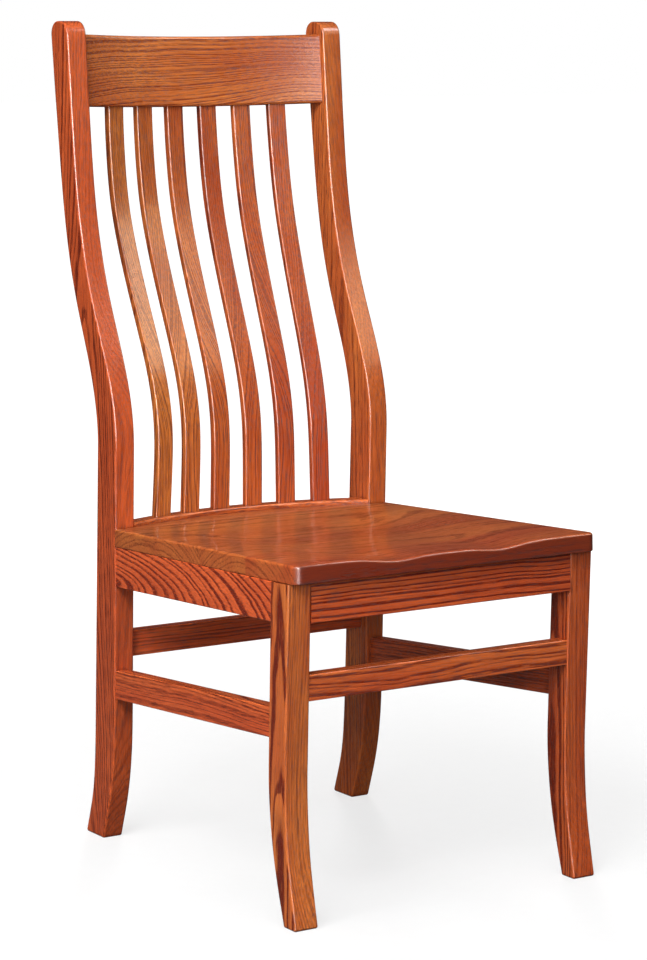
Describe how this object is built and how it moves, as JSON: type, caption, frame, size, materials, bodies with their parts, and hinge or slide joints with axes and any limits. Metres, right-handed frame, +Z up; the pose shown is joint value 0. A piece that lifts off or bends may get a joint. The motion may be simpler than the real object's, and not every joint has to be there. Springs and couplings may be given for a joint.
{
  "type": "dining chair",
  "caption": "Wooden dining side chair with bent back posts, a curved slatted back, a scooped solid seat and stretchered legs.",
  "frame": {"origin": "on the floor under the centre of the overall box, midway between the side faces and between the front feet and the back of the crest rail", "axes": "+Z up from the feet, +X to the right of someone looking at the chair's front (the sitter's left), -Y towards the front edge of the seat"},
  "size_m": [0.466, 0.6602, 1.111],
  "materials": {
    "stained_oak": "gloss",
    "seat_oak": "gloss",
    "block_wood": "satin",
    "screw_steel": "satin"
  },
  "bodies": {
    "root": {"back_post_left": "stained_oak", "back_post_right": "stained_oak", "front_leg_left": "stained_oak", "front_leg_right": "stained_oak", "crest_rail": "stained_oak", "lower_back_rail": "stained_oak", "back_slat_1": "stained_oak", "back_slat_2": "stained_oak", "back_slat_3": "stained_oak", "back_slat_4": "stained_oak", "back_slat_5": "stained_oak", "back_slat_6": "stained_oak", "front_apron": "stained_oak", "rear_apron": "stained_oak", "side_apron_left": "stained_oak", "side_apron_right": "stained_oak", "front_stretcher": "stained_oak", "rear_stretcher": "stained_oak", "side_stretcher_left": "stained_oak", "side_stretcher_right": "stained_oak", "seat_board_1": "seat_oak", "seat_board_2": "seat_oak", "seat_board_3": "seat_oak", "seat_board_4": "seat_oak", "corner_block_front_left": "block_wood", "corner_block_front_right": "block_wood", "corner_block_rear_left": "block_wood", "corner_block_rear_right": "block_wood", "corner_block_screws": "screw_steel", "seat_screws": "screw_steel"}
  },
  "joints": []
}
